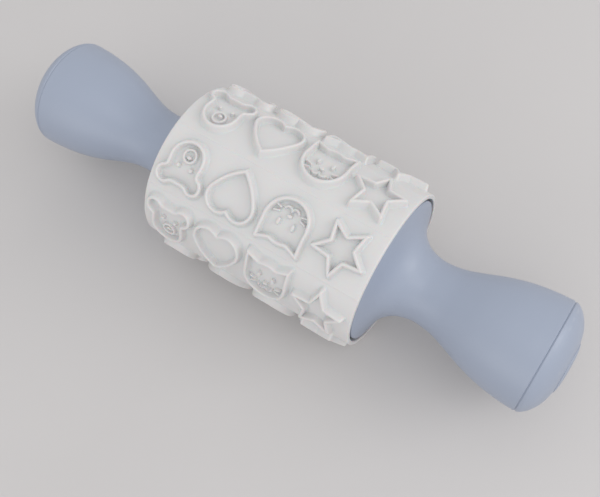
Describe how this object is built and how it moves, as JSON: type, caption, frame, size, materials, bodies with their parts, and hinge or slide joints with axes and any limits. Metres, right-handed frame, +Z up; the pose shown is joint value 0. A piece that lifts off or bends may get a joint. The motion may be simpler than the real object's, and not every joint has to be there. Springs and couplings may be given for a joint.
{
  "type": "textured pattern roller",
  "caption": "Two-handed embossing roller: white tubular drum with raised heart, star, cat and bear outlines turns between two flared blue-grey handles.",
  "frame": {"origin": "on the axle's centre line at the middle of the drum", "axes": "+X along the axle towards the right-hand handle, +Z up, a plain gap between two rows of shapes facing straight down"},
  "size_m": [0.2212, 0.0646, 0.0646],
  "materials": {
    "drum_plastic": "smooth satin-white moulded plastic",
    "handle_plastic": "fine matte blue-grey moulded plastic",
    "inner_plastic": "plain natural moulded plastic",
    "bush_plastic": "natural acetal bearing plastic",
    "steel": "bright zinc-plated steel"
  },
  "bodies": {
    "handles": {"handle_left": "handle_plastic", "handle_right": "handle_plastic", "end_cap_left": "handle_plastic", "end_cap_right": "handle_plastic", "cap_disc_left": "handle_plastic", "cap_disc_right": "handle_plastic", "axle": "steel", "thrust_washer_left": "steel", "thrust_washer_right": "steel", "retaining_clip_left": "steel", "retaining_clip_right": "steel", "screw_washer_left": "steel", "screw_washer_right": "steel", "axle_screw_left": "steel", "axle_screw_right": "steel"},
    "drum": {"pattern_drum": "drum_plastic", "hub_disc_left": "inner_plastic", "hub_disc_right": "inner_plastic", "bush_left": "bush_plastic", "bush_right": "bush_plastic", "spacer_tube": "inner_plastic"}
  },
  "joints": [
    {"name": "drum_spin", "type": "hinge", "parent": "handles", "child": "drum", "pos_m": [0, 0, 0], "axis": [1, 0, 0], "continuous": true}
  ]
}
